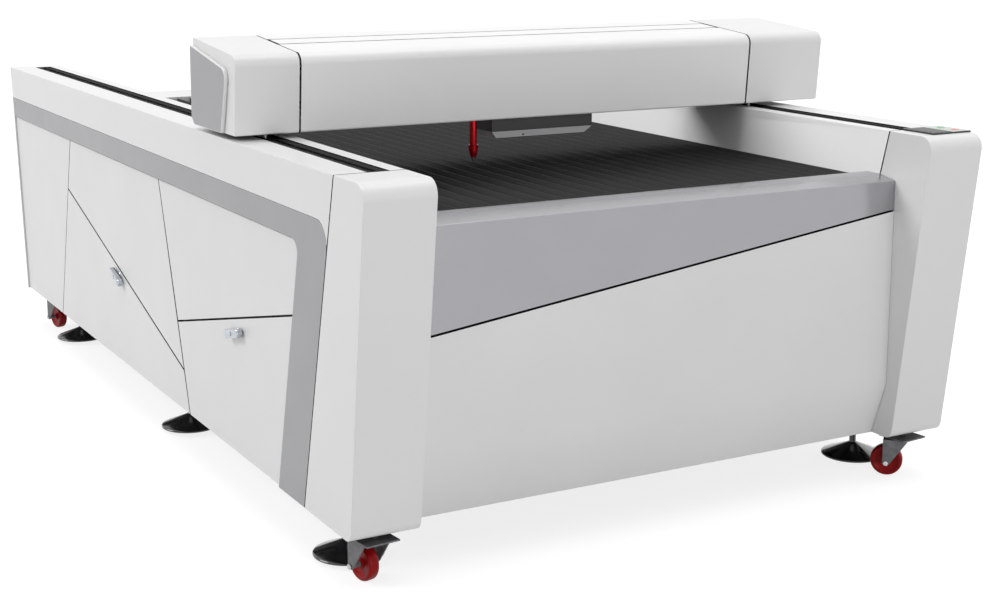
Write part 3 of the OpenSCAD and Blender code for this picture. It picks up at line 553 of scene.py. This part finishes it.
for where, slope in latch_slopes.items():
    low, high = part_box(f"{where}_latch")
    spindle = ((low[1] + high[1]) / 2, (low[2] + high[2]) / 2)
    bar = slab((-half_length, -half_width, 0), (half_length, half_width, thickness))
    upright = [e for e in bar.edges if abs((e.verts[0].co - e.verts[1].co).z) > 0.01]
    bmesh.ops.bevel(bar, geom=upright, offset=0.0125, segments=8, profile=0.5,
                    affect="EDGES", material=-1)
    crown = [f for f in bar.faces if f.normal.z > 0.9]
    bmesh.ops.bevel(bar, geom=[e for f in crown for e in f.edges], offset=0.0035, segments=4,
                    profile=0.5, affect="EDGES", material=-1)
    moved(bar, (face_x + thickness - reach, *spindle),
          Matrix.Rotation(radians(slope), 4, "X") @ outwards)
    rosette = turned([(0, -0.0038), (0.0105, -0.0038), (0.0145, -0.003), (0.0168, -0.0012),
                      (0.017, -0.0004), (0, -0.0004)], 48)
    stem = turned([(0, -0.024), (0.007, -0.024), (0.007, 0.03), (0.012, 0.0306),
                   (0.012, 0.0345), (0, 0.035)], 32)
    latch = joined(bar, moved(rosette, (face_x, *spindle), along_x),
                   moved(stem, (face_x, *spindle), along_x))
    placed(f"latch_{where}", latch, chrome, f"{where}_door_latch",
           (f"{where}_latch",), crease=40)

# ---- Front sheets ----
# Metallic fascia with a ledge and a shallow slope above it, and under its slanting lower edge
# a grey sheet that is folded inwards near the foot and turned back along its upper edge.
fascia_coat, _ = finish_of("fascia_coat", (0.4, 0.405, 0.42), 0.55, 0.18)
tones(fascia_coat, mottle(fascia_coat, 9, detail=2), (0.372, 0.375, 0.392), (0.38, 0.383, 0.4))
range_of(fascia_coat, mottle(fascia_coat, 5, detail=1), "Roughness", 0.19, 0.22)
relief(fascia_coat, mottle(fascia_coat, 20, detail=0), 0.00002, 0.03)


def under_or_behind(face, centre):
    """Lower edge and back of a front sheet"""
    return face.normal.z < -0.5 or face.normal.y > 0.5


def top_or_behind(face, centre):
    """Upper edge and back of a front sheet"""
    return face.normal.z > 0.5 or face.normal.y > 0.5


# Painted shade: the fascia's lower edge and back and the front sheet's upper edge and back take the
# near-black seam shade.
folded("fascia", "front_fascia", "root", fascia_coat,
       radius=0.0025, painted_shade_picker=under_or_behind)
front_sheet = folded("front_sheet", "front_panel", "root", panel_coat,
                     radius=0.0015, painted_shade_picker=top_or_behind)
low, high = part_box("front_panel")
diagonal = radians(7.35)
flange_length = (high[0] - low[0]) / cos(diagonal)
# A flange turned back along the sheet's upper edge, all in near-black painted shade, so that the seam
# under the fascia looks dark.
flange = slab((-flange_length, 0.002, -0.003), (0, 0.032, 0))
moved(flange, (high[0], low[1], high[2]), Matrix.Rotation(-diagonal, 4, "Y"))
for face in flange.faces:
    face.material_index = 1
flange.from_mesh(front_sheet.data)
flange.to_mesh(front_sheet.data)
flange.free()
front_sheet.data.set_sharp_from_angle(angle=radians(30))

# ---- Rear sheet ----
# One leaning steel sheet, painted on both sides, with the deck behind the bed, a round fume
# outlet and the appliance socket.
folded("rear_sheet", "rear_panel", "root", panel_coat, radius=0.002)
socket_black, _ = finish_of("socket_black", (0.02, 0.02, 0.021), 0, 0.45)
tones(socket_black, mottle(socket_black, 60), (0.016, 0.016, 0.017), (0.026, 0.026, 0.027))
relief(socket_black, mottle(socket_black, 800), 0.00006, 0.5)
dress(socket_black, "power_inlet")

# ---- Control panel ----
# Black plate with a pale green-grey face let into the right column's top, with a dark
# glass display and two round push keys, green to start and red to stop.
plate_black, _ = finish_of("plate_black", (0.02, 0.02, 0.022), 0, 0.4)
tones(plate_black, mottle(plate_black, 60), (0.016, 0.016, 0.018), (0.026, 0.026, 0.028))
plate_face, _ = finish_of("plate_face", (0.55, 0.6, 0.56), 0.2, 0.34)
tones(plate_face, mottle(plate_face, 300, (1, 0.03, 1)), (0.5, 0.55, 0.51), (0.6, 0.65, 0.61))
range_of(plate_face, mottle(plate_face, 200), "Roughness", 0.28, 0.4)
key_plate = folded("key_plate", "control_panel", "root", plate_black,
                   radius=0.0012, sheet=0.001, edge=0)
key_plate.data.materials.append(plate_face)
for face in key_plate.data.polygons:
    face.material_index = int(face.normal.z > 0.9)
display_glass, glass_shader = finish_of("display_glass", (0.008, 0.008, 0.01), 0, 0.06)
tones(display_glass, mottle(display_glass, 25), (0.006, 0.006, 0.009), (0.012, 0.012, 0.014))
glass_shader.inputs["Specular IOR Level"].default_value = 0.015
folded("display", "control_display", "root", display_glass,
       radius=0.0008, sheet=0.0001, edge=0)
green, red = (0.03, 0.36, 0.09), (0.75, 0.06, 0.02)
for name, node, colour, body, slot in (
        ("push_key_green", "start_key", green, "start_button", "key_green"),
        ("push_key_red", "stop_key", red, "stop_button", "key_red")):
    cap, cap_shader = finish_of(name, colour, 0, 0.25)
    tones(cap, mottle(cap, 150), tuple(c * 0.9 for c in colour), colour)
    cap_shader.inputs["Coat Weight"].default_value = 0.5
    low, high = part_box(node)
    height = high[2] - low[2]
    button = turned([(0, 0), (0.012, 0), (0.012, height - 0.0008), (0.0113, height - 0.0001),
                     (0.010, height - 0.0002), (0.006, height - 0.0009), (0, height - 0.0011)], 48)
    middle = ((low[0] + high[0]) / 2, (low[1] + high[1]) / 2, low[2])
    placed(name, moved(button, middle), cap, body, (node,))

# ---- Gantry drive ----
# Brackets, bearing blocks and motors under the gantry's ends, bolted to a hollow aluminium
# beam; the covers hide them, so they are finished plainly.
anodised, _ = finish_of("anodised_beam", (0.56, 0.57, 0.585), 0.9, 0.38)
tones(anodised, mottle(anodised, 150, (0.03, 1, 1)), (0.5, 0.51, 0.525), (0.6, 0.61, 0.625))
range_of(anodised, mottle(anodised, 260), "Roughness", 0.32, 0.45)
dress(anodised, "gantry_beam", "head_carriage")
dress(zinc, "gantry_brackets")
dress(ground_steel, "bearing_blocks")
motor_black, _ = finish_of("motor_black", (0.02, 0.02, 0.022), 0.1, 0.4)
tones(motor_black, mottle(motor_black, 70), (0.016, 0.016, 0.018), (0.028, 0.028, 0.03))
range_of(motor_black, mottle(motor_black, 200), "Roughness", 0.34, 0.5)
dress(motor_black, "drive_motors", "cross_motor")

# ---- Laser tube ----
# Sealed glass tube in two saddles behind the beam: an outer gas jacket, a water jacket,
# a narrow bore, and a metal cap with its mirror at each end.
tube_glass, tube_shader = finish_of("tube_glass", (0.9, 0.95, 0.96), 0, 0.03)
tube_shader.inputs["Transmission Weight"].default_value = 0.9
tube_shader.inputs["IOR"].default_value = 1.47
range_of(tube_glass, mottle(tube_glass, 60), "Roughness", 0.02, 0.06)
dress(tube_glass, "laser_tube")

# ---- Gantry covers ----
# Leaning box section folded from white sheet in three lengths with thin gaps between them,
# a narrow lid let into the top and ringed by painted shade of its gap, and a metallic plate on the
# left end.
lid_low, lid_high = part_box("gantry_lid")
lid_middle = (lid_low[1] + lid_high[1]) / 2


def inside_or_under_lid(face, centre):
    """The hood's inner faces and the floor of the lid's seat"""
    off_middle = abs(face.calc_center_median().y - lid_middle)
    return inside(face, centre) or (face.normal.z > 0.9 and off_middle < 0.02)


def on_edge(face, centre):
    """The narrow sides of a flat strip"""
    return abs(face.normal.z) < 0.5


# A lighter copy of the white coat for the middle length and the lid: painted light that makes up for
# the shade they get over the dark bed.
hood_coat_painted_light = powder_coat("hood_coat_painted_light", (0.855, 0.855, 0.855), (0.87, 0.87, 0.87), 0.3)
# Painted shade: the hoods' inner faces, the floor of the lid's seat and the lid's narrow sides take
# the near-black seam shade.
folded("gantry_hood", "gantry_cover", "gantry", hood_coat_painted_light,
       radius=0.002, painted_shade_picker=inside_or_under_lid)
for side in ("left", "right"):
    folded(f"gantry_hood_{side}", f"gantry_cover_{side}", "gantry", white_coat,
           radius=0.009, painted_shade_picker=inside)
top_lid = folded("gantry_top_lid", "gantry_lid", "gantry", hood_coat_painted_light,
                 radius=0, sheet=0.0001, edge=0, painted_shade_picker=on_edge)
# Width of a near-black border painted round the lid's top: painted shade that stands for the gap round
# the lid.
shade_border_width = 0.007
lid_mesh = bmesh.new()
lid_mesh.from_mesh(top_lid.data)
lid_top = max(lid_mesh.faces, key=lambda f: f.calc_area() * f.normal.z)
for face in bmesh.ops.inset_region(lid_mesh, faces=[lid_top], thickness=shade_border_width)["faces"]:
    face.material_index = 1
lid_mesh.to_mesh(top_lid.data)
lid_mesh.free()
end_plate = folded("gantry_end_plate", "end_plate", "gantry", silver_coat,
                   radius=0.006, sheet=0.0001, edge=0)
end_plate.data.materials.append(white_coat)
for face in end_plate.data.polygons:
    face.material_index = 0 if face.normal.x < -0.98 else 1

# ---- Cutting head ----
# Dark folded box with a paler tray under it, hung from the carriage, and beside it the red
# anodised lens tube with a collar round its foot and a bright cone tip.
head_coat = powder_coat("head_coat", (0.045, 0.045, 0.046), (0.055, 0.055, 0.056), 0.34)
folded("head_box", "head_cover", "head", head_coat,
       radius=0.0016, sheet=0.002, edge=0.0004)
tray_coat = powder_coat("tray_coat", (0.46, 0.46, 0.47), (0.5, 0.5, 0.51), 0.3)
folded("head_pan", "head_tray", "head", tray_coat,
       radius=0.0016, sheet=0.002, edge=0.0004)
red_metal, _ = finish_of("red_anodised", (0.5, 0.006, 0.012), 0.75, 0.2)
tones(red_metal, mottle(red_metal, 120, (1, 1, 0.2)), (0.4, 0.004, 0.009), (0.56, 0.008, 0.015))
range_of(red_metal, mottle(red_metal, 400, (1, 1, 20)), "Roughness", 0.16, 0.28)
low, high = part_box("nozzle")
tip_place = ((low[0] + high[0]) / 2, (low[1] + high[1]) / 2, low[2])
tube_top = high[2] - low[2]
outer = [(0.0015, 0.0006), (0.0019, 0), (0.0034, 0), (0.0042, 0.003), (0.0075, 0.0125),
         (0.0108, 0.0215), (0.0121, 0.0265), (0.0125, 0.029), (0.0125, 0.0318),
         (0.0142, 0.0324), (0.015, 0.0335), (0.015, 0.0365), (0.0144, 0.0371),
         (0.0144, 0.0462), (0.015, 0.0468), (0.015, 0.0492), (0.0143, 0.05),
         (0.011, 0.0508), (0.011, tube_top)]
bore = [(0.0085, tube_top), (0.0085, 0.039), (0.004, 0.036), (0.004, 0.010), (0.0015, 0.008)]
lens_tube = turned(outer + bore + outer[:1], 48)
lens = placed("lens_tube", moved(lens_tube, tip_place), red_metal, "lens",
              ("nozzle",), crease=30)
lens.data.materials.append(axle_steel)
tip_height = 0.009
for face in lens.data.polygons:
    face.material_index = int(face.center.z < low[2] + tip_height)
